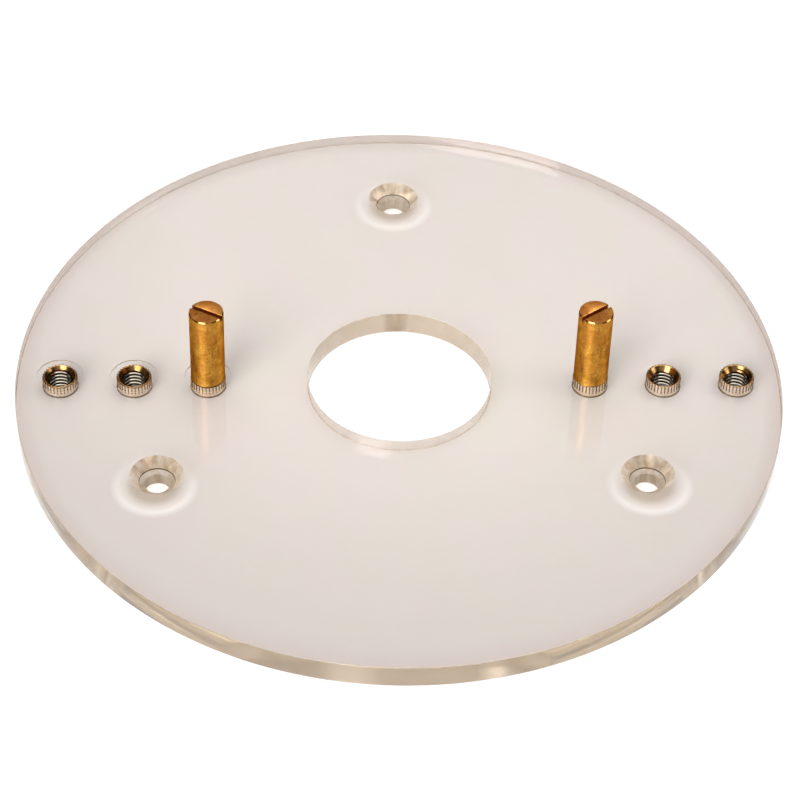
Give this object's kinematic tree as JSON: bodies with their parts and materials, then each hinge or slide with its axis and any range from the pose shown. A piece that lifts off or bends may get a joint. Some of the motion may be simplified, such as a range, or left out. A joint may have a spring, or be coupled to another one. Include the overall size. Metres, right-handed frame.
{
  "type": "mortise centering router base",
  "caption": "Clear round router base plate with a central hole, knurled brass threaded inserts in a row and slotted brass guide pins that straddle the workpiece.",
  "frame": {"origin": "centre of the base plate on its router face, the face that bolts to the router", "axes": "+Z from the router face towards the guide pins and the workpiece; +X along the row of inserts, towards the right-hand pin; +Y towards the screw hole that lies square to that row"},
  "size_m": [0.178, 0.178, 0.026],
  "materials": {
    "clear_plastic": "clear, polished faces",
    "insert_brass": "bright, machined",
    "pin_brass": "turned, lightly tarnished"
  },
  "bodies": {
    "base": {"base_plate": "clear_plastic", "insert_left_outer": "insert_brass", "insert_left_middle": "insert_brass", "insert_left_inner": "insert_brass", "insert_right_inner": "insert_brass", "insert_right_middle": "insert_brass", "insert_right_outer": "insert_brass"},
    "left_pin": {"guide_pin_left": "pin_brass"},
    "right_pin": {"guide_pin_right": "pin_brass"}
  },
  "joints": [
    {"name": "left_pin_unscrew", "type": "slide", "parent": "base", "child": "left_pin", "axis": [0, 0, 1], "range_m": [0, 0.0062]},
    {"name": "right_pin_unscrew", "type": "slide", "parent": "base", "child": "right_pin", "axis": [0, 0, 1], "range_m": [0, 0.0062]}
  ]
}
